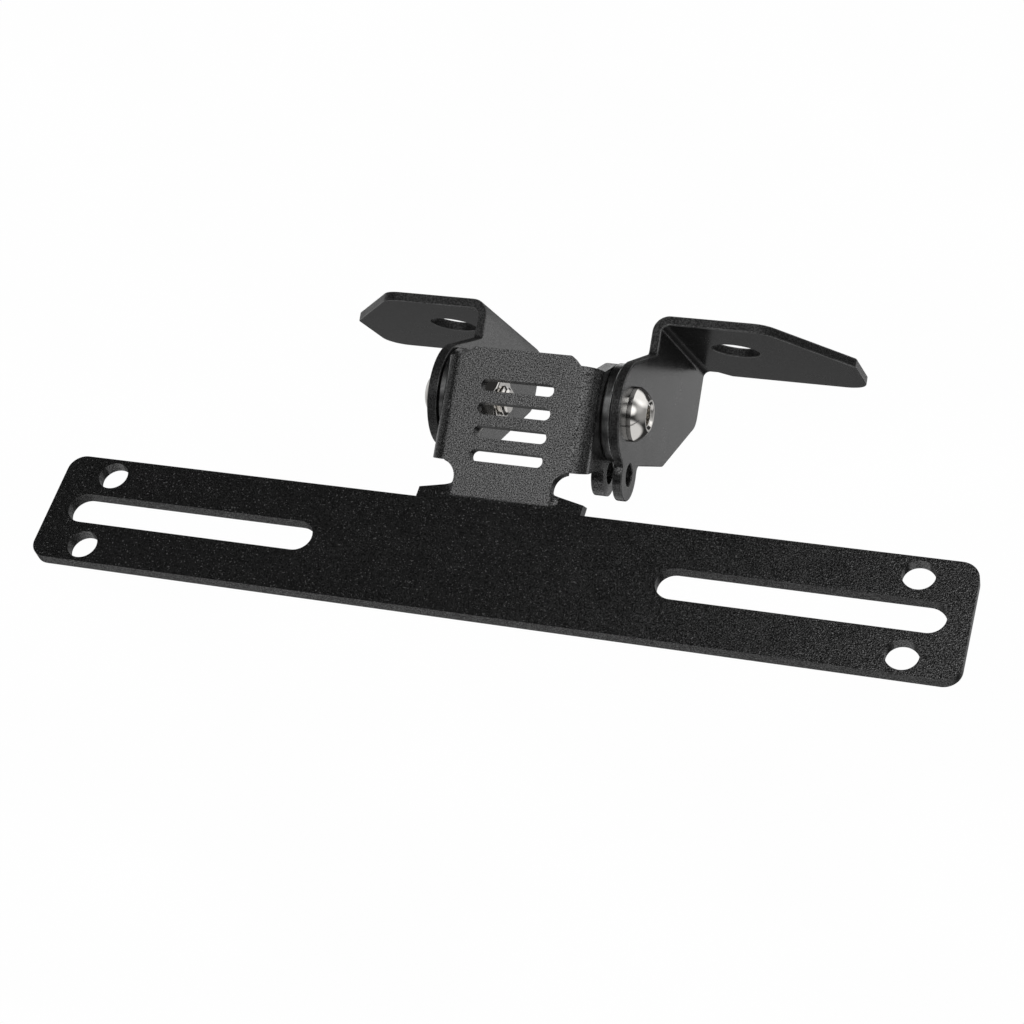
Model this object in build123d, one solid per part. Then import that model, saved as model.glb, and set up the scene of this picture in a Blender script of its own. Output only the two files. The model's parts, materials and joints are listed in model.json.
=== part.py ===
from build123d import *
from math import acos, atan2, cos, hypot, radians, sin, tan
import os

# Tail tidy: a number-plate carrier that tilts between two mounting brackets.
# Millimetres. +X to the right, -Y towards the number plate, +Z up.
# Origin: midway between the two flange holes, on the top faces of the flanges.

# Pivot axis, along X, measured from the origin
PIVOT_FORWARD = 28.3
PIVOT_DROP = 23.1

# Carrier: one folded sheet
CARRIER_SHEET = 2.5
BAR_LENGTH = 186.0
BAR_HEIGHT = 25.0
BAR_CORNER_R = 3.5
BAR_LEAN = 25.0
PLATE_HOLE_D = 6.2
PLATE_HOLE_MARGIN = 10.8
PLATE_HOLE_RISE = 17.0
SLOT_WIDTH = 6.8
SLOT_LENGTH = 53.8
SLOT_END_MARGIN = 4.3

# Fold between bar and panel, and the neck there
FOLD_DROP = 22.6
FOLD_R = 2.0
BAR_TOP_GAP = 1.0
FOLD_FADE = 1.8
TAB_WIDTH = 33.8
TAB_RISE = 1.2
TAB_NECK_RISE = 2.7
NECK_WIDTH = 20.0
RELIEF_TOP_RISE = 7.0
RELIEF_R = 3.4
RELIEF_LOW_R = 0.8

# Panel and ears
PANEL_REACH = 14.45
PANEL_RISE = 7.45
PANEL_TOP_WIDTH = 20.2
SHOULDER_RUN = 1.8
SHOULDER_DROP = 1.85
SHOULDER_LEDGE = 0.6
SHOULDER_R = 1.0
EAR_BEND_R = 1.0
EAR_ROUND_R = 9.6
EAR_BOTTOM_RISE = 0.8
VENT_COUNT = 4
VENT_LENGTH = 15.0
VENT_HEIGHT = 2.4
VENT_PITCH = 4.7
VENT_DROP = 7.4

# Lugs below the pivot, on the right ear and the right bracket, with their holes in line
LUG_DROP = 11.7
LUG_BACK = 3.6
EAR_LUG_R = 4.7
BRACKET_LUG_R = 5.3
LUG_HOLE_D = 4.5
LUG_CORNER_R = 1.5

# Brackets: two folded sheets, mirrored but for the lug
BRACKET_SHEET = 2.0
BRACKET_ROUND_R = 10.4
BRACKET_BEND_R = 1.5
FLANGE_HOLE_D = 10.2
FLANGE_HOLE_SPACING = 63.4
FLANGE_FRONT = 17.7
FLANGE_DEPTH = 43.0
FLANGE_TIP = 56.3
FLANGE_KINK = 41.1
FLANGE_TIP_START = 5.0
FLANGE_KINK_R = 5.0
FLANGE_TIP_R = 2.0
FLANGE_REAR_R = 5.0
REAR_STEP = 2.7
FRONT_EDGE_DROP = 8.3
BOTTOM_SLOPE = 11.0
BOTTOM_LENGTH = 26.8
BOTTOM_CORNER_R = 3.0
REAR_CORNER_DROP = 14.6
REAR_CORNER_R = 4.0
INNER_CORNER_R = 1.0

# Pivot hardware: M6 button-head screw, spacer disc and flange nut
BOLT_D = 6.0
BOLT_LENGTH = 14.0
HEAD_D = 11.0
HEAD_HEIGHT = 3.3
HEAD_RIM = 0.9
HEAD_FLAT_D = 6.4
SOCKET_AF = 4.0
SOCKET_DEPTH = 2.4
SOCKET_MOUTH = 0.5
BOLT_CLEARANCE = 0.1
DISC_D = 19.6
DISC_THICKNESS = 2.0
DISC_CHAMFER = 0.3
NUT_AF = 10.0
NUT_HEIGHT = 6.0
NUT_FLANGE_D = 14.2
NUT_FLANGE_RIM = 1.0
NUT_FLANGE_CONE = 1.4
NUT_CHAMFER = 0.6
NUT_CHAMFER_WIDTH = 1.2

# How far cutting bodies run past what they cut
PAST = 5.0

# Angle of straight up in a side view
UP = radians(90)

# Places worked out from the sizes above
PIVOT = (-PIVOT_FORWARD, -PIVOT_DROP)
LUG = (PIVOT[0] + LUG_BACK, PIVOT[1] - LUG_DROP)
PIVOT_HOLE_R = BOLT_D / 2 + BOLT_CLEARANCE
PANEL_FRONT = PIVOT[0] - PANEL_REACH
PANEL_TOP = PIVOT[1] + PANEL_RISE
SHOULDER = PANEL_TOP - SHOULDER_DROP
FOLD = (PANEL_FRONT, PIVOT[1] - FOLD_DROP)
EAR_BOTTOM = FOLD[1] + RELIEF_TOP_RISE
RELIEF_Z = EAR_BOTTOM - RELIEF_R
SHOULDER_X = PANEL_TOP_WIDTH / 2 + SHOULDER_RUN
PANEL_FLAT = SHOULDER_X + SHOULDER_LEDGE
EAR_BEND_OUT_R = EAR_BEND_R + CARRIER_SHEET
EAR_OUT = PANEL_FLAT + EAR_BEND_OUT_R
EAR_IN = EAR_OUT - CARRIER_SHEET
BRACKET_IN = EAR_OUT + DISC_THICKNESS
BRACKET_OUT = BRACKET_IN + BRACKET_SHEET
BRACKET_BEND_OUT_R = BRACKET_BEND_R + BRACKET_SHEET
FLANGE_REAR = FLANGE_DEPTH - FLANGE_FRONT
PLATE_REAR = FLANGE_REAR - REAR_STEP


def polar(centre, radius, angle):
    """Point at an angle (radians) on a circle."""
    return (centre[0] + radius * cos(angle), centre[1] + radius * sin(angle))


def tangent_angle(point, centre, radius, turn):
    """Angle on a circle where a line from a point touches it; turn is +1 or -1."""
    reach = hypot(point[0] - centre[0], point[1] - centre[1])
    bearing = atan2(point[1] - centre[1], point[0] - centre[0])
    return bearing + turn * acos(radius / reach)


def face_of(*corners):
    """Flat face from (u, v) or (u, v, corner radius) corners."""
    points = [corner[:2] for corner in corners]
    radii = [corner[2] if len(corner) > 2 else 0 for corner in corners]
    return make_face(FilletPolyline(*points, radius=radii, close=True)).face()


def disc_at(centre, radius):
    """Round face about a point."""
    return (Pos(*centre) * Circle(radius)).face()


def joined(*faces):
    """One face from faces that overlap."""
    whole = Sketch() + list(faces)
    return whole.clean().face()


def rounded_at(face, point, radius):
    """The face with its corner nearest to a point rounded."""
    corner = face.vertices().sort_by_distance((*point, 0))[0]
    return face.fillet_2d(radius, [corner])


def slab_x(face, low, high):
    """Solid from a (Y, Z) face, between two X planes."""
    return extrude(Plane.YZ.offset(low) * face, high - low)


def mirrored(solid):
    """The same solid on the left side."""
    return mirror(solid, Plane.YZ)


def bar():
    """Number-plate bar: flat strip with slots and holes, leaning back."""
    lean = radians(BAR_LEAN)
    reach = BAR_TOP_GAP + BAR_HEIGHT
    low = (FOLD[0] - reach * sin(lean), FOLD[1] - reach * cos(lean))
    plane = Plane((0, *low), x_dir=(1, 0, 0), z_dir=(0, -cos(lean), sin(lean)))
    middle = BAR_HEIGHT / 2
    slot_x = BAR_LENGTH / 2 - SLOT_END_MARGIN - SLOT_LENGTH / 2
    hole_x = BAR_LENGTH / 2 - PLATE_HOLE_MARGIN
    strip = Pos(0, middle) * RectangleRounded(BAR_LENGTH, BAR_HEIGHT, BAR_CORNER_R)
    for side in (-1, 1):
        strip -= Pos(side * slot_x, middle) * SlotOverall(SLOT_LENGTH, SLOT_WIDTH)
        for rise in (-PLATE_HOLE_RISE / 2, PLATE_HOLE_RISE / 2):
            strip -= Pos(side * hole_x, middle + rise) * Circle(PLATE_HOLE_D / 2)
    return extrude(plane * strip, -CARRIER_SHEET)


def folded_section(reach, top):
    """Side view of the sheet from a reach below the fold, round it and straight up to a height."""
    lean = radians(BAR_LEAN)
    low = polar(FOLD, -reach, UP - lean)
    back_fold = (FOLD[0] + CARRIER_SHEET, FOLD[1] - CARRIER_SHEET * tan(lean / 2))
    return face_of(
        low,
        (*FOLD, FOLD_R),
        (FOLD[0], top),
        (FOLD[0] + CARRIER_SHEET, top),
        (*back_fold, FOLD_R + CARRIER_SHEET),
        polar(low, CARRIER_SHEET, -lean),
    )


def flat_section(reach, rise):
    """Side view of the sheet run straight on past the fold, cut where the fold begins and ends."""
    lean = radians(BAR_LEAN)
    ease = FOLD_R * tan(lean / 2)
    front = [polar(FOLD, along, UP - lean) for along in (-reach, -ease, ease, rise)]
    back = [polar(point, CARRIER_SHEET, -lean) for point in front]
    return face_of(*front, *reversed(back))


def relief(side):
    """Front view of the opening beside the neck, on one side."""
    neck_x = NECK_WIDTH / 2
    past_x = TAB_WIDTH / 2 + PAST
    tab_top = FOLD[1] + TAB_RISE
    return face_of(
        (side * neck_x, FOLD[1] + TAB_NECK_RISE, RELIEF_LOW_R),
        (side * TAB_WIDTH / 2, tab_top),
        (side * past_x, tab_top),
        (side * past_x, EAR_BOTTOM),
        (side * neck_x, EAR_BOTTOM, RELIEF_R),
    )


def tab_end():
    """Right end of the tab on the bar: the fold dies out past the neck and leaves it flat."""
    neck_x = NECK_WIDTH / 2
    flat_x = neck_x + FOLD_FADE
    folded = folded_section(BAR_TOP_GAP, RELIEF_Z)
    flat = flat_section(BAR_TOP_GAP, RELIEF_TOP_RISE)
    fade = loft([Plane.YZ.offset(neck_x) * folded, Plane.YZ.offset(flat_x) * flat], ruled=True)
    end = slab_x(flat, flat_x, TAB_WIDTH / 2)
    return fade + end - extrude(Plane.XZ * relief(1), BAR_LENGTH, both=True)


def front_view():
    """What is kept of the folded strip, seen from the front: neck, panel and shoulders, with vents."""
    low = FOLD[1] - BAR_HEIGHT
    neck = face_of(
        (-NECK_WIDTH / 2, low),
        (NECK_WIDTH / 2, low),
        (NECK_WIDTH / 2, RELIEF_Z),
        (-NECK_WIDTH / 2, RELIEF_Z),
    )
    panel = face_of(
        (-PANEL_FLAT, RELIEF_Z),
        (PANEL_FLAT, RELIEF_Z),
        (PANEL_FLAT, SHOULDER),
        (SHOULDER_X, SHOULDER, SHOULDER_R),
        (PANEL_TOP_WIDTH / 2, PANEL_TOP, SHOULDER_R),
        (-PANEL_TOP_WIDTH / 2, PANEL_TOP, SHOULDER_R),
        (-SHOULDER_X, SHOULDER, SHOULDER_R),
        (-PANEL_FLAT, SHOULDER),
    )
    view = joined(neck, panel)
    for side in (-1, 1):
        view = (view - relief(side)).face()
    for step in range(VENT_COUNT):
        vent_z = PANEL_TOP - VENT_DROP - step * VENT_PITCH
        view = (view - Pos(0, vent_z) * SlotOverall(VENT_LENGTH, VENT_HEIGHT)).face()
    return view


def ear_profile(with_lug):
    """Side view of an ear: rounded about the pivot, with or without the lug below."""
    bend_end = PANEL_FRONT + EAR_BEND_OUT_R
    top = (bend_end, SHOULDER)
    low = (bend_end, EAR_BOTTOM + EAR_BOTTOM_RISE)
    web = face_of(
        (PANEL_FRONT, SHOULDER),
        top,
        polar(PIVOT, EAR_ROUND_R, tangent_angle(top, PIVOT, EAR_ROUND_R, -1)),
        PIVOT,
        polar(PIVOT, EAR_ROUND_R, tangent_angle(low, PIVOT, EAR_ROUND_R, 1)),
        low,
        (PANEL_FRONT, EAR_BOTTOM),
    )
    whole = joined(web, disc_at(PIVOT, EAR_ROUND_R))
    if not with_lug:
        return whole
    bearing = atan2(LUG[1] - PIVOT[1], LUG[0] - PIVOT[0])
    apart = hypot(LUG[0] - PIVOT[0], LUG[1] - PIVOT[1])
    rear = bearing + acos((EAR_ROUND_R - EAR_LUG_R) / apart)
    lug_front = (LUG[0] - EAR_LUG_R, LUG[1])
    lug_web = face_of(
        PIVOT,
        polar(PIVOT, EAR_ROUND_R, rear),
        polar(LUG, EAR_LUG_R, rear),
        LUG,
        lug_front,
        low,
    )
    whole = joined(whole, lug_web, disc_at(LUG, EAR_LUG_R))
    whole = rounded_at(whole, lug_front, INNER_CORNER_R)
    return (whole - disc_at(LUG, LUG_HOLE_D / 2)).face()


def ear(with_lug):
    """Right ear: folded back from the panel's side edge."""
    rear = PIVOT[0] + EAR_ROUND_R + PAST
    lap = PANEL_FLAT - EAR_BEND_R
    fold = face_of(
        (lap, PANEL_FRONT),
        (EAR_OUT, PANEL_FRONT, EAR_BEND_OUT_R),
        (EAR_OUT, rear),
        (EAR_IN, rear),
        (EAR_IN, PANEL_FRONT + CARRIER_SHEET, EAR_BEND_R),
        (lap, PANEL_FRONT + CARRIER_SHEET),
    )
    low = LUG[1] - EAR_LUG_R - PAST
    sheet = extrude(Plane.XY.offset(low) * fold, PAST - low)
    return sheet & slab_x(ear_profile(with_lug), lap - PAST, EAR_OUT + PAST)


def plate_carrier():
    """Bar, neck, panel and ears: one sheet."""
    strip = slab_x(folded_section(BAR_TOP_GAP + BAR_HEIGHT / 2, PANEL_TOP), -PANEL_FLAT, PANEL_FLAT)
    strip &= extrude(Plane.XZ * front_view(), BAR_LENGTH, both=True)
    whole = bar() + strip + tab_end() + mirrored(tab_end())
    whole = whole + ear(True) + mirrored(ear(False))
    whole -= slab_x(disc_at(PIVOT, PIVOT_HOLE_R), -EAR_OUT - PAST, EAR_OUT + PAST)
    return whole.clean()


def bracket_profile(with_lug):
    """Side view of a bracket's upright plate, below its bend: the nose is round about the pivot."""
    bend_low = -BRACKET_BEND_OUT_R
    front_top = (-FLANGE_FRONT, -FRONT_EDGE_DROP)
    nose_touch = polar(PIVOT, BRACKET_ROUND_R, tangent_angle(front_top, PIVOT, BRACKET_ROUND_R, 1))
    bottom = radians(BOTTOM_SLOPE)
    bottom_touch = polar(PIVOT, BRACKET_ROUND_R, bottom - radians(90))
    bottom_end = polar(bottom_touch, BOTTOM_LENGTH, bottom)
    web = face_of(
        (-FLANGE_FRONT, bend_low),
        (*front_top, INNER_CORNER_R),
        nose_touch,
        PIVOT,
        bottom_touch,
        (*bottom_end, BOTTOM_CORNER_R),
        (PLATE_REAR, -REAR_CORNER_DROP, REAR_CORNER_R),
        (PLATE_REAR, bend_low),
    )
    whole = joined(web, disc_at(PIVOT, BRACKET_ROUND_R))
    if with_lug:
        whole = joined(whole, disc_at(LUG, BRACKET_LUG_R))
        for side in (-BRACKET_LUG_R, BRACKET_LUG_R):
            whole = rounded_at(whole, (LUG[0] + side, LUG[1]), LUG_CORNER_R)
        whole = (whole - disc_at(LUG, LUG_HOLE_D / 2)).face()
    return (whole - disc_at(PIVOT, PIVOT_HOLE_R)).face()


def bracket(with_lug):
    """Right bracket: upright plate, bend and flange folded outward."""
    hole_x = FLANGE_HOLE_SPACING / 2
    bend_end = BRACKET_IN + BRACKET_BEND_OUT_R
    plate = slab_x(bracket_profile(with_lug), BRACKET_IN, BRACKET_OUT)
    bend_low = -BRACKET_BEND_OUT_R - BRACKET_SHEET
    quarter = face_of(
        (BRACKET_IN, bend_low),
        (BRACKET_IN, 0, BRACKET_BEND_OUT_R),
        (bend_end + BRACKET_BEND_R, 0),
        (bend_end + BRACKET_BEND_R, -BRACKET_SHEET),
        (BRACKET_OUT, -BRACKET_SHEET, BRACKET_BEND_R),
        (BRACKET_OUT, bend_low),
    )
    bend = extrude(Plane.XZ.offset(-PLATE_REAR) * quarter, PLATE_REAR + FLANGE_FRONT)
    flange_face = face_of(
        (bend_end, -FLANGE_FRONT),
        (FLANGE_KINK, -FLANGE_FRONT, FLANGE_KINK_R),
        (FLANGE_TIP, FLANGE_TIP_START, FLANGE_TIP_R),
        (FLANGE_TIP, FLANGE_REAR, FLANGE_REAR_R),
        (bend_end + BRACKET_BEND_R + REAR_STEP, FLANGE_REAR, INNER_CORNER_R),
        (bend_end + BRACKET_BEND_R, PLATE_REAR),
        (bend_end, PLATE_REAR),
    )
    flange_face = (flange_face - disc_at((hole_x, 0), FLANGE_HOLE_D / 2)).face()
    flange = extrude(Plane.XY * flange_face, -BRACKET_SHEET)
    return (plate + bend + flange).clean()


def on_pivot(solid, seat):
    """Puts a solid made along +X at the origin on the pivot axis, with its seat at an X."""
    return Pos(seat, *PIVOT) * solid


def turned(*corners):
    """Solid of revolution about X from (x, radius) corners."""
    return revolve(face_of(*corners), Axis.X)


def pivot_bolt():
    """Right button-head screw: the head's underside seats on the bracket."""
    rim = (HEAD_RIM, HEAD_D / 2)
    flat = (HEAD_HEIGHT, HEAD_FLAT_D / 2)
    rise = flat[0] - rim[0]
    dome_x = (rim[0] + flat[0]) / 2 - (rim[1] ** 2 - flat[1] ** 2) / (2 * rise)
    dome_r = hypot(rim[0] - dome_x, rim[1])
    half_way = (atan2(rim[1], rim[0] - dome_x) + atan2(flat[1], flat[0] - dome_x)) / 2
    outline = [
        Line((0, 0), (0, HEAD_D / 2)),
        Line((0, HEAD_D / 2), rim),
        ThreePointArc(rim, polar((dome_x, 0), dome_r, half_way), flat),
        Line(flat, (HEAD_HEIGHT, 0)),
        Line((HEAD_HEIGHT, 0), (0, 0)),
    ]
    head = revolve(make_face(outline), Axis.X)
    mouth_plane = Plane.YZ.offset(HEAD_HEIGHT)
    socket = RegularPolygon(SOCKET_AF / 2, 6, major_radius=False)
    head -= extrude(mouth_plane * socket, -SOCKET_DEPTH)
    corner_r = SOCKET_AF / 2 / cos(radians(30))
    head -= turned(
        (HEAD_HEIGHT - SOCKET_MOUTH, 0),
        (HEAD_HEIGHT - SOCKET_MOUTH, corner_r),
        (HEAD_HEIGHT, corner_r + SOCKET_MOUTH),
        (HEAD_HEIGHT, 0),
    )
    shank = extrude(Plane.YZ * Circle(BOLT_D / 2), -BOLT_LENGTH)
    return on_pivot((head + shank).clean(), BRACKET_OUT)


def spacer_disc():
    """Right disc between ear and bracket, with eased rim edges."""
    radius = DISC_D / 2
    ring = turned(
        (0, PIVOT_HOLE_R),
        (0, radius - DISC_CHAMFER),
        (DISC_CHAMFER, radius),
        (DISC_THICKNESS - DISC_CHAMFER, radius),
        (DISC_THICKNESS, radius - DISC_CHAMFER),
        (DISC_THICKNESS, PIVOT_HOLE_R),
    )
    return on_pivot(ring, EAR_OUT)


def pivot_nut():
    """Right flange nut: seats on the inside of the ear and stands inward."""
    corner_r = NUT_AF / 2 / cos(radians(30))
    hexagon = extrude(Plane.YZ * RegularPolygon(NUT_AF / 2, 6, major_radius=False), -NUT_HEIGHT)
    eased = turned(
        (0, 0),
        (0, corner_r + NUT_CHAMFER),
        (NUT_CHAMFER - NUT_HEIGHT, corner_r),
        (-NUT_HEIGHT, corner_r - NUT_CHAMFER_WIDTH),
        (-NUT_HEIGHT, 0),
    )
    flange = turned(
        (0, 0),
        (0, NUT_FLANGE_D / 2),
        (-NUT_FLANGE_RIM, NUT_FLANGE_D / 2),
        (-NUT_FLANGE_RIM - NUT_FLANGE_CONE, NUT_AF / 2),
        (-NUT_FLANGE_RIM - NUT_FLANGE_CONE, 0),
    )
    bore = extrude(Plane.YZ.offset(PAST) * Circle(BOLT_D / 2), -NUT_HEIGHT - 2 * PAST)
    return on_pivot(((hexagon & eased) + flange - bore).clean(), EAR_IN)


os.makedirs("parts", exist_ok=True)
export_step(plate_carrier(), "parts/plate_carrier.step")
export_step(bracket(True), "parts/bracket_right.step")
export_step(mirrored(bracket(False)), "parts/bracket_left.step")
for name, make in (("pivot_bolt", pivot_bolt), ("spacer_disc", spacer_disc), ("pivot_nut", pivot_nut)):
    piece = make()
    export_step(piece, f"parts/{name}_right.step")
    export_step(mirrored(piece), f"parts/{name}_left.step")
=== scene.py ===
import json
import math

import bmesh
import bpy
from mathutils import Matrix, Vector
from mathutils.bvhtree import BVHTree
from mathutils.geometry import area_tri

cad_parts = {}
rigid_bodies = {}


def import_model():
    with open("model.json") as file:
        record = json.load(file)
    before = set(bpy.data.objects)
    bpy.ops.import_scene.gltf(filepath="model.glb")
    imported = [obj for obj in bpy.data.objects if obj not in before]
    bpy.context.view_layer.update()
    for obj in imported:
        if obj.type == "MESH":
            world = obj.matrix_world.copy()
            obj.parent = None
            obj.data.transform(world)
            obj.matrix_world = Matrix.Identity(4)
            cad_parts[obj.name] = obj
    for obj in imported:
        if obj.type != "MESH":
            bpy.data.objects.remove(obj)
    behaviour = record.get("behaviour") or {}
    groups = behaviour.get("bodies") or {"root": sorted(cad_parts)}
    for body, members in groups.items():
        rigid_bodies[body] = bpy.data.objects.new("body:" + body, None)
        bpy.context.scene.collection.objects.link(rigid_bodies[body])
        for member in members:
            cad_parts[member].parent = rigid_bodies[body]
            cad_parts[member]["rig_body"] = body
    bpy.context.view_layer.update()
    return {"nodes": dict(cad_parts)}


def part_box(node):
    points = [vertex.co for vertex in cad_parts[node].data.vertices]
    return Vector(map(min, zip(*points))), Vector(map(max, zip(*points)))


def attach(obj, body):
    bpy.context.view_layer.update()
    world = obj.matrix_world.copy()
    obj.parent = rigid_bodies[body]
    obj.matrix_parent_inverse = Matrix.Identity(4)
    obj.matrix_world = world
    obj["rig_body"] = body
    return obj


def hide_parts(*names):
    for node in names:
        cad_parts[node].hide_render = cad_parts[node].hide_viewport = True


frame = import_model()
nodes = frame["nodes"]
scene = bpy.context.scene

# Camera that took the photograph, in the part's frame: metres, +Z up, -Y towards the viewer
CAMERA_AT = Vector((0.13751, -0.44057, -0.10283))
CAMERA_RIGHT = Vector((0.94140, 0.29546, 0.16267))
CAMERA_UP = Vector((-0.11416, -0.17469, 0.97798))
CAMERA_BACK = Vector((0.31737, -0.93925, -0.13072))
LENS_MM = 77.19
SENSOR_MM = 36.0
CLIP_NEAR = 0.01
CLIP_FAR = 30.0

# Meshes: what counts as one point, one flat face and a sharp edge, where shading stays smooth and
# how far large faces lead it
WELD = 1e-6
FLAT_ANGLE = math.radians(0.4)
SHARP_ANGLE = math.radians(35)
COAT_SMOOTH = math.radians(32)
STEEL_SMOOTH = math.radians(20)
LARGE_FACE_WEIGHT = 100

# Rounding along every sharp edge: its width on each kind of piece, its steps and its section
CARRIER_EDGE = 0.0004
BRACKET_EDGE = 0.0006
STEEL_EDGE = 0.0001
EDGE_STEPS = 3
ROUND_PROFILE = 0.5

# A face with more metal behind it than this is a cut edge of a sheet, where the coat is rougher
# and duller
SHEET_MOST = 0.0035
CUT_ROUGHER = 0.15
CUT_SHINE = 0.45

# Bracket faces that look up at the tail are matt
MATT_ROUGHER = 0.4

# How far a face of a spacer disc turns towards its axis where it is the slope between rim and face;
# these slopes get a painted highlight
SLOPE_LEAST = 0.3
SLOPE_MOST = 0.95

# Thread at the free end of each pivot screw; its flanks rise from a flat root to a flat crest
THREAD_PITCH = 0.001
THREAD_DEPTH = 0.00061
THREAD_IN_NUT = 0.0015
THREAD_ROWS = 28
THREAD_SIDES = 56
FLANK_SLOPE = 2.4
FLANK_START = 0.1
TIP_CHAMFER = 0.0007

# Noise: how rough it is, and the ranges of its value over which each effect grows in full
NOISE_ROUGH = 0.5
GLOSS_SPAN = (0.3, 0.7)
TONE_SPAN = (0.3, 0.7)
SHINE_SPAN = (0.38, 0.62)
# The fleck and speck spans set where pale dots show on the coat; these dots are painted glints
GLINT_FLECK_SPAN = (0.5, 0.75)
GLINT_SPECK_SPAN = (0.71, 0.78)
# The rim spans set how far rims are painted paler, part wear and part painted highlight
COAT_RIM_PALE_SPAN = (0.35, 0.65)
STEEL_RIM_PALE_SPAN = (0.35, 0.6)

# Colour sockets of a mix node, which has a set for each kind of value
MIX_FIRST = 6
MIX_SECOND = 7
MIX_RESULT = 2

# Powder coat: cells of each noise for one cell of the grain, how far rims are painted paler, part
# wear and part painted highlight, and how shine and gloss vary
GLINT_CELLS = 1.2
GLINT_SPECK_CELLS = 0.8
PATCH_CELLS = 0.05
RIM_PALE_LEAST = 0.05
RIM_PALE_MOST = 0.4
MEAN_SHINE = 0.5
GRAIN_GLOSS = 0.05
PATCH_GLOSS = 0.03

# Steel: cells per metre of the turning marks, which run round the X axis, and of the cloudy tone,
# how strong that tone is, how far rims are painted brighter, part wear and part painted highlight,
# and how the marks change the gloss
MARK_CELLS = (9000.0, 500.0, 500.0)
CLOUD_CELLS = 700.0
CLOUD_TONE = 0.2
STEEL_RIM_PALE_LEAST = 0.2
MARK_SMOOTHER = 0.8
MARK_ROUGHER = 1.3

# Stage: a wide bowl, so that the floor runs into the backdrop without an edge
FLOOR_Z = -0.42
BOWL_FLAT_R = 1.4
BOWL_R = 3.6
BOWL_RISE = 3.2
BOWL_RINGS = 24
BOWL_SIDES = 96
FLOOR_CLOUDS = 3.0
FLOOR_DARK = (0.985, 0.985, 0.985)
FLOOR_LIGHT = (1.0, 1.0, 1.0)

# Studio: soft lights by direction, in degrees. Level, azimuth (0 in front, 90 right), elevation,
# the angle out to which a light is full and the angle at which it has died out
DARK_ROOM = 0.03
SOFT_LIGHTS = (
    (1.25, -26.0, 7.0, 5.0, 24.0),
    (1.85, -4.0, 7.0, 5.0, 24.0),
    (1.55, 18.0, 7.0, 5.0, 24.0),
    (1.4, 42.0, 5.0, 5.0, 22.0),
    (0.3, -14.0, -20.0, 6.0, 26.0),
    (3.8, 6.0, 45.0, 3.0, 16.0),
    (1.2, 144.5, 8.0, 12.0, 17.5),
    (0.3, 85.0, 8.0, 15.0, 40.0),
    (0.25, 66.0, 25.0, 8.0, 30.0),
    (1.1, 95.0, 55.0, 20.0, 38.0),
    (1.8, -157.0, 38.0, 4.0, 15.0),
    (0.6, 178.0, 18.0, 6.0, 22.0),
    (0.5, -135.0, 10.0, 8.0, 25.0),
    (0.8, 0.0, -90.0, 55.0, 66.0),
    (0.11, -155.0, -12.0, 5.0, 35.0),
    (0.4, -92.0, 12.0, 15.0, 40.0),
)


# Edge rounding and the screw thread

def finish_mesh(bm, name, smooth_angle):
    """Object from a mesh in the making, smooth over its curves and flat on its faces."""
    mesh = bpy.data.meshes.new(name)
    for face in bm.faces:
        face.smooth = True
    for edge in bm.edges:
        edge.smooth = edge.calc_face_angle(0.0) < smooth_angle
    bm.to_mesh(mesh)
    bm.free()
    piece = bpy.data.objects.new(name, mesh)
    scene.collection.objects.link(piece)
    even = piece.modifiers.new("even_normals", "WEIGHTED_NORMAL")
    even.keep_sharp = True
    even.weight = LARGE_FACE_WEIGHT
    return piece


def inner_points(bm):
    """A point well inside each face: the middle of its largest triangle."""
    best = {}
    for corners in bm.calc_loop_triangles():
        points = [corner.vert.co for corner in corners]
        size = area_tri(*points)
        face = corners[0].face
        if face not in best or size > best[face][0]:
            best[face] = (size, sum(points, Vector()) / 3)
    return {face: point for face, (size, point) in best.items()}


def rounded_copy(node, radius):
    """A solid's mesh, flat faces merged and sharp edges rounded, with rims and cut edges marked."""
    bm = bmesh.new()
    bm.from_mesh(nodes[node].data)
    bmesh.ops.remove_doubles(bm, verts=bm.verts, dist=WELD)
    bmesh.ops.dissolve_limit(bm, angle_limit=FLAT_ANGLE, verts=bm.verts, edges=bm.edges)
    mark = bm.faces.layers.float.new("edge")
    cut = bm.faces.layers.float.new("cut")
    inside = BVHTree.FromBMesh(bm)
    for face, point in inner_points(bm).items():
        depth = inside.ray_cast(point - face.normal * WELD, -face.normal)[3]
        face[cut] = 1.0 if depth is None or depth > SHEET_MOST else 0.0
    sharp = [edge for edge in bm.edges if edge.calc_face_angle(0.0) > SHARP_ANGLE]
    rims = bmesh.ops.bevel(bm, geom=sharp, offset=radius, offset_type="OFFSET", segments=EDGE_STEPS,
                           profile=ROUND_PROFILE, affect="EDGES", clamp_overlap=True)
    for face in rims["faces"]:
        face[mark] = 1.0
        face[cut] = 0.0
    return bm


def bracket_copy(node):
    """A bracket, with the faces that look up marked as matt."""
    bm = rounded_copy(node, BRACKET_EDGE)
    matt = bm.faces.layers.float.new("matt")
    for face in bm.faces:
        face[matt] = max(0.0, face.normal.z)
    return bm


def disc_copy(node):
    """A spacer disc, with the slopes round its two faces marked as rims, which get a painted
    highlight.
    """
    bm = rounded_copy(node, STEEL_EDGE)
    mark = bm.faces.layers.float["edge"]
    for face in bm.faces:
        face[mark] = 1.0 if SLOPE_LEAST < abs(face.normal.x) < SLOPE_MOST else 0.0
    return bm


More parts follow.
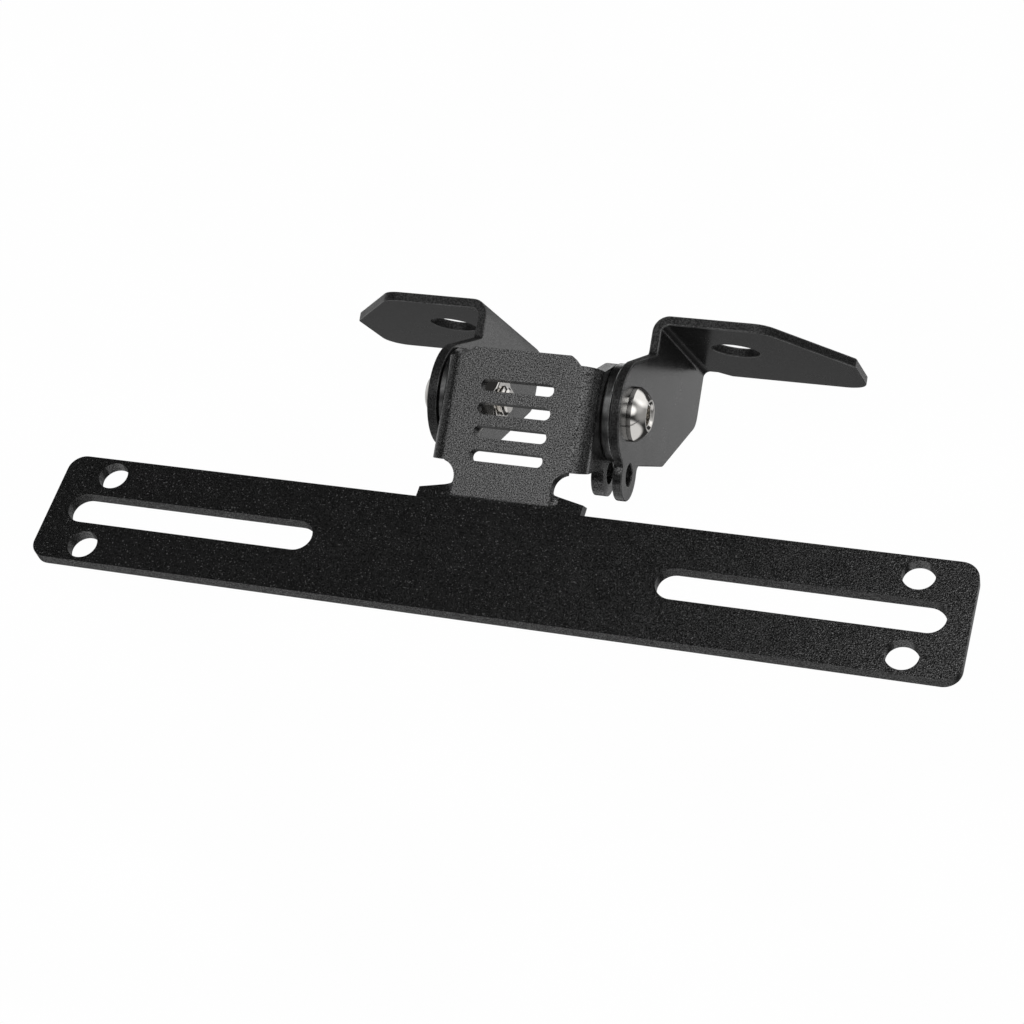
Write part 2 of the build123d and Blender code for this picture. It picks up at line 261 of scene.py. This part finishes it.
def add_thread(bm, tip, inward, radius):
    """Closed threaded rod from the tip of a screw towards its head, along X."""
    length = abs(tip - inward)
    rows = round(length / THREAD_PITCH * THREAD_ROWS)
    rings = []
    for row in range(rows + 1):
        along = length * row / rows
        x = tip + math.copysign(along, inward - tip)
        ring = []
        for side in range(THREAD_SIDES):
            angle = side / THREAD_SIDES * 2 * math.pi
            phase = (along / THREAD_PITCH + side / THREAD_SIDES) % 1.0
            sunk = max(0.0, min(1.0, FLANK_SLOPE * abs(phase - 0.5) - FLANK_START))
            reach = min(radius - THREAD_DEPTH * sunk, radius - TIP_CHAMFER + along)
            ring.append(bm.verts.new((x, reach * math.cos(angle), reach * math.sin(angle))))
        rings.append(ring)
    for near, far in zip(rings, rings[1:]):
        for side in range(THREAD_SIDES):
            after = (side + 1) % THREAD_SIDES
            bm.faces.new((near[side], near[after], far[after], far[side]))
    bm.faces.new(rings[0])
    bm.faces.new(list(reversed(rings[-1])))
    return [vert for ring in rings for vert in ring]


def screw_copy(node, nut):
    """A pivot screw with rounded edges and its free end cut as a thread."""
    bm = rounded_copy(node, STEEL_EDGE)
    low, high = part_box(node)
    nut_low, nut_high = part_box(nut)
    tip, nut_face = (low.x, nut_low.x) if low.x > 0 else (high.x, nut_high.x)
    inward = nut_face + math.copysign(THREAD_IN_NUT, nut_face - tip)
    centre = Vector((0.0, (low.y + high.y) / 2, (low.z + high.z) / 2))
    whole = bm.verts[:] + bm.edges[:] + bm.faces[:]
    towards_tip = Vector((tip - inward, 0.0, 0.0)).normalized()
    cut = bmesh.ops.bisect_plane(bm, geom=whole, dist=WELD, plane_co=(inward, 0.0, 0.0),
                                 plane_no=towards_tip, clear_outer=True)
    rim = [item for item in cut["geom_cut"] if isinstance(item, bmesh.types.BMEdge)]
    bmesh.ops.contextual_create(bm, geom=rim)
    radius = max((vert.co - centre).yz.length for edge in rim for vert in edge.verts)
    thread = add_thread(bm, tip, inward, radius)
    bmesh.ops.translate(bm, verts=thread, vec=centre)
    bmesh.ops.recalc_face_normals(bm, faces=bm.faces)
    return bm


# Material helpers

def new_material(name):
    """An empty node material and its tree, with the shader and the output in place."""
    material = bpy.data.materials.new(name)
    material.use_nodes = True
    tree = material.node_tree
    tree.nodes.clear()
    output = tree.nodes.new("ShaderNodeOutputMaterial")
    shader = tree.nodes.new("ShaderNodeBsdfPrincipled")
    tree.links.new(shader.outputs["BSDF"], output.inputs["Surface"])
    return material, tree, shader


def add(tree, kind, links=(), values=(), **settings):
    """A node with its settings, socket values and incoming links."""
    node = tree.nodes.new(kind)
    for key, value in settings.items():
        setattr(node, key, value)
    for socket, value in values:
        node.inputs[socket].default_value = value
    for socket, source in links:
        tree.links.new(source, node.inputs[socket])
    return node


def object_place(tree):
    """Coordinates fixed to the piece."""
    return add(tree, "ShaderNodeTexCoord").outputs["Object"]


def face_mark(tree, name):
    """A number that the mesh holds for each face."""
    return add(tree, "ShaderNodeAttribute", attribute_name=name).outputs["Fac"]


def noise(tree, place, scale, detail=2.0):
    """Noise in object space; scale is in cells per metre."""
    return add(tree, "ShaderNodeTexNoise", [("Vector", place)],
               [("Scale", scale), ("Detail", detail), ("Roughness", NOISE_ROUGH)]).outputs["Fac"]


def span(tree, source, low, high, out_low, out_high, curve="LINEAR"):
    """Value mapped from one range to another, held at the ends."""
    node = add(tree, "ShaderNodeMapRange", [("Value", source)],
               [("From Min", low), ("From Max", high), ("To Min", out_low), ("To Max", out_high)],
               interpolation_type=curve)
    return node.outputs["Result"]


def maths(tree, operation, first, second):
    """Two values put together; each is a socket or a number."""
    node = add(tree, "ShaderNodeMath", operation=operation)
    for index, value in enumerate((first, second)):
        if isinstance(value, (int, float)):
            node.inputs[index].default_value = value
        else:
            tree.links.new(value, node.inputs[index])
    return node.outputs[0]


def tint(tree, factor, low, high):
    """Colour between two colours by a factor."""
    node = add(tree, "ShaderNodeMix", [("Factor", factor)], data_type="RGBA")
    node.inputs[MIX_FIRST].default_value = (*low, 1.0)
    node.inputs[MIX_SECOND].default_value = (*high, 1.0)
    return node.outputs[MIX_RESULT]


def grey(level):
    """A colour with no hue."""
    return (level, level, level)


def powder_coat(name, colour, wear_and_highlight_tone, grain, height, rough, sparkle, glint_fleck, glint_speck, broad):
    """Textured black powder coat: pebbled grain, pale flecks and a few paler specks that are
    painted glints, of which a sheet's broad faces have the given share, and rims painted lighter,
    part wear and part painted highlight."""
    material, tree, shader = new_material(name)
    place = object_place(tree)
    pebble = noise(tree, place, grain, 1.0)
    glint = noise(tree, place, grain * GLINT_CELLS, 1.0)
    speckle = noise(tree, place, grain * GLINT_SPECK_CELLS, 0.0)
    patch = noise(tree, place, grain * PATCH_CELLS)
    rim = face_mark(tree, "edge")
    cut = face_mark(tree, "cut")
    matt = face_mark(tree, "matt")
    share = span(tree, cut, 0.0, 1.0, broad, 1.0)

    # Rims painted paler: part wear, part painted highlight
    rim_paleness = span(tree, patch, *COAT_RIM_PALE_SPAN, RIM_PALE_LEAST, RIM_PALE_MOST)
    rim_wear_and_highlight = maths(tree, "MULTIPLY", rim, rim_paleness)
    # Pale flecks and specks: painted glints of the coat's grains, fullest on cut edges
    glint_flecks = span(tree, glint, *GLINT_FLECK_SPAN, 0.0, glint_fleck)
    glint_specks = span(tree, speckle, *GLINT_SPECK_SPAN, 0.0, glint_speck)
    painted_glint_dots = maths(tree, "MULTIPLY", share, maths(tree, "MAXIMUM", glint_flecks, glint_specks))
    pale = maths(tree, "MAXIMUM", rim_wear_and_highlight, painted_glint_dots)
    tree.links.new(tint(tree, pale, colour, wear_and_highlight_tone), shader.inputs["Base Color"])

    shine = span(tree, glint, *SHINE_SPAN, MEAN_SHINE - sparkle, MEAN_SHINE + sparkle)
    shine = maths(tree, "MULTIPLY", shine, span(tree, cut, 0.0, 1.0, 1.0, CUT_SHINE))
    tree.links.new(shine, shader.inputs["Specular IOR Level"])

    gloss = span(tree, pebble, *GLOSS_SPAN, rough + GRAIN_GLOSS, rough - GRAIN_GLOSS)
    gloss = maths(tree, "ADD", gloss, span(tree, patch, *GLOSS_SPAN, -PATCH_GLOSS, PATCH_GLOSS))
    gloss = maths(tree, "ADD", gloss, span(tree, cut, 0.0, 1.0, 0.0, CUT_ROUGHER))
    gloss = maths(tree, "ADD", gloss, span(tree, matt, 0.0, 1.0, 0.0, MATT_ROUGHER))
    tree.links.new(gloss, shader.inputs["Roughness"])

    bump = add(tree, "ShaderNodeBump", [("Height", pebble), ("Strength", share)],
               [("Distance", height)])
    tree.links.new(bump.outputs["Normal"], shader.inputs["Normal"])
    return material


def steel(name, colour, wear_and_highlight_tone, rough, mark_height):
    """Bare or blackened steel with faint turning marks, cloudy tone and rims painted brighter, part
    wear and part painted highlight.
    """
    material, tree, shader = new_material(name)
    shader.inputs["Metallic"].default_value = 1.0
    place = object_place(tree)
    stretched = add(tree, "ShaderNodeMapping", [("Vector", place)], [("Scale", MARK_CELLS)])
    marks = noise(tree, stretched.outputs["Vector"], 1.0)
    cloud = noise(tree, place, CLOUD_CELLS)
    rim = face_mark(tree, "edge")

    # Rims painted brighter: part wear, part painted highlight; on the spacer discs' slopes it is
    # painted highlight
    rim_paleness = span(tree, cloud, *STEEL_RIM_PALE_SPAN, STEEL_RIM_PALE_LEAST, 1.0)
    rim_wear_and_highlight = maths(tree, "MULTIPLY", rim, rim_paleness)
    tone = maths(tree, "MAXIMUM", span(tree, cloud, *TONE_SPAN, 0.0, CLOUD_TONE), rim_wear_and_highlight)
    tree.links.new(tint(tree, tone, colour, wear_and_highlight_tone), shader.inputs["Base Color"])

    gloss = span(tree, marks, *GLOSS_SPAN, rough * MARK_SMOOTHER, rough * MARK_ROUGHER)
    tree.links.new(gloss, shader.inputs["Roughness"])

    bump = add(tree, "ShaderNodeBump", [("Height", marks)],
               [("Strength", 1.0), ("Distance", mark_height)])
    tree.links.new(bump.outputs["Normal"], shader.inputs["Normal"])
    return material


# The pieces: each stands for its solid, with rounded edges and a finish

def place_piece(bm, node, material, smooth_angle):
    """A finished piece that stands for a solid and rides on its body."""
    piece = finish_mesh(bm, node + "_piece", smooth_angle)
    piece.data.materials.append(material)
    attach(piece, nodes[node]["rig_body"])
    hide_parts(node)


# Coats: the fleck and speck strengths set the painted glints; the pale tone is that of rim wear,
# painted highlight and painted glints
carrier_coat = powder_coat("carrier_coat", colour=grey(0.006), wear_and_highlight_tone=grey(0.12), grain=3800.0,
                           height=0.00004, rough=0.2, sparkle=0.45, glint_fleck=0.24, glint_speck=0.75,
                           broad=0.85)
bracket_coat = powder_coat("bracket_coat", colour=grey(0.006), wear_and_highlight_tone=grey(0.12), grain=3000.0,
                           height=0.00007, rough=0.21, sparkle=0.3, glint_fleck=0.08, glint_speck=0.08,
                           broad=0.1)
bright_steel = steel("bright_steel", colour=(0.7, 0.68, 0.65), wear_and_highlight_tone=(0.85, 0.83, 0.8), rough=0.11,
                     mark_height=0.000002)
# The dark steel's pale rim tone paints the bright highlight on the spacer discs' slopes
dark_steel = steel("dark_steel", colour=grey(0.05), wear_and_highlight_tone=grey(0.35), rough=0.3,
                   mark_height=0.00001)

place_piece(rounded_copy("plate_carrier", CARRIER_EDGE), "plate_carrier",
            carrier_coat, COAT_SMOOTH)
for side in ("right", "left"):
    bracket = "bracket_" + side
    screw = "pivot_bolt_" + side
    nut = "pivot_nut_" + side
    disc = "spacer_disc_" + side
    place_piece(bracket_copy(bracket), bracket, bracket_coat, COAT_SMOOTH)
    place_piece(screw_copy(screw, nut), screw, bright_steel, STEEL_SMOOTH)
    place_piece(rounded_copy(nut, STEEL_EDGE), nut, bright_steel, STEEL_SMOOTH)
    place_piece(disc_copy(disc), disc, dark_steel, STEEL_SMOOTH)


# Stage, light and camera

def bowl():
    """Floor that curves up all round into the backdrop; it is a background and lights nothing."""
    rings = []
    for step in range(BOWL_RINGS + 1):
        turn = step / BOWL_RINGS * math.pi / 2
        rings.append((BOWL_FLAT_R + (BOWL_R - BOWL_FLAT_R) * math.sin(turn),
                      FLOOR_Z + BOWL_RISE * (1 - math.cos(turn))))
    points = [(0.0, 0.0, FLOOR_Z)]
    faces = []
    for radius, height in rings:
        for side in range(BOWL_SIDES):
            angle = side / BOWL_SIDES * 2 * math.pi
            points.append((radius * math.cos(angle), radius * math.sin(angle), height))
    for side in range(BOWL_SIDES):
        after = (side + 1) % BOWL_SIDES
        faces.append((0, 1 + side, 1 + after))
        for ring in range(BOWL_RINGS):
            low = 1 + ring * BOWL_SIDES
            high = low + BOWL_SIDES
            faces.append((low + side, high + side, high + after, low + after))
    mesh = bpy.data.meshes.new("floor")
    mesh.from_pydata(points, [], faces)
    for polygon in mesh.polygons:
        polygon.use_smooth = True
    floor = bpy.data.objects.new("floor", mesh)
    scene.collection.objects.link(floor)
    material, tree, shader = new_material("pale_floor")
    shade = noise(tree, object_place(tree), FLOOR_CLOUDS)
    tree.links.new(tint(tree, shade, FLOOR_DARK, FLOOR_LIGHT), shader.inputs["Emission Color"])
    shader.inputs["Emission Strength"].default_value = 1.0
    shader.inputs["Base Color"].default_value = (0.0, 0.0, 0.0, 1.0)
    shader.inputs["Roughness"].default_value = 1.0
    shader.inputs["Specular IOR Level"].default_value = 0.0
    mesh.materials.append(material)
    floor.visible_diffuse = False
    floor.visible_glossy = False
    floor.visible_shadow = False


def towards(azimuth, elevation):
    """Unit vector to a place in the studio."""
    turn = math.radians(azimuth)
    rise = math.radians(elevation)
    level = math.cos(rise)
    return Vector((math.sin(turn) * level, -math.cos(turn) * level, math.sin(rise)))


def studio():
    """World of soft lights on a dark room; each is brightest at its middle."""
    world = bpy.data.worlds.new("studio")
    world.use_nodes = True
    tree = world.node_tree
    way = add(tree, "ShaderNodeTexCoord").outputs["Generated"]
    total = DARK_ROOM
    for level, azimuth, elevation, full, gone in SOFT_LIGHTS:
        nearness = add(tree, "ShaderNodeVectorMath", [(0, way)], [(1, towards(azimuth, elevation))],
                       operation="DOT_PRODUCT").outputs["Value"]
        light = span(tree, nearness, math.cos(math.radians(gone)), math.cos(math.radians(full)),
                     0.0, level, "SMOOTHSTEP")
        total = maths(tree, "ADD", light, total)
    tree.links.new(total, tree.nodes["Background"].inputs["Color"])
    scene.world = world


bowl()
studio()

camera_data = bpy.data.cameras.new("camera")
camera_data.sensor_width = SENSOR_MM
camera_data.sensor_fit = "HORIZONTAL"
camera_data.lens = LENS_MM
camera_data.clip_start = CLIP_NEAR
camera_data.clip_end = CLIP_FAR
camera = bpy.data.objects.new("camera", camera_data)
camera.matrix_world = Matrix((
    (CAMERA_RIGHT.x, CAMERA_UP.x, CAMERA_BACK.x, CAMERA_AT.x),
    (CAMERA_RIGHT.y, CAMERA_UP.y, CAMERA_BACK.y, CAMERA_AT.y),
    (CAMERA_RIGHT.z, CAMERA_UP.z, CAMERA_BACK.z, CAMERA_AT.z),
    (0.0, 0.0, 0.0, 1.0),
))
scene.collection.objects.link(camera)
scene.camera = camera
scene.view_settings.view_transform = "Standard"
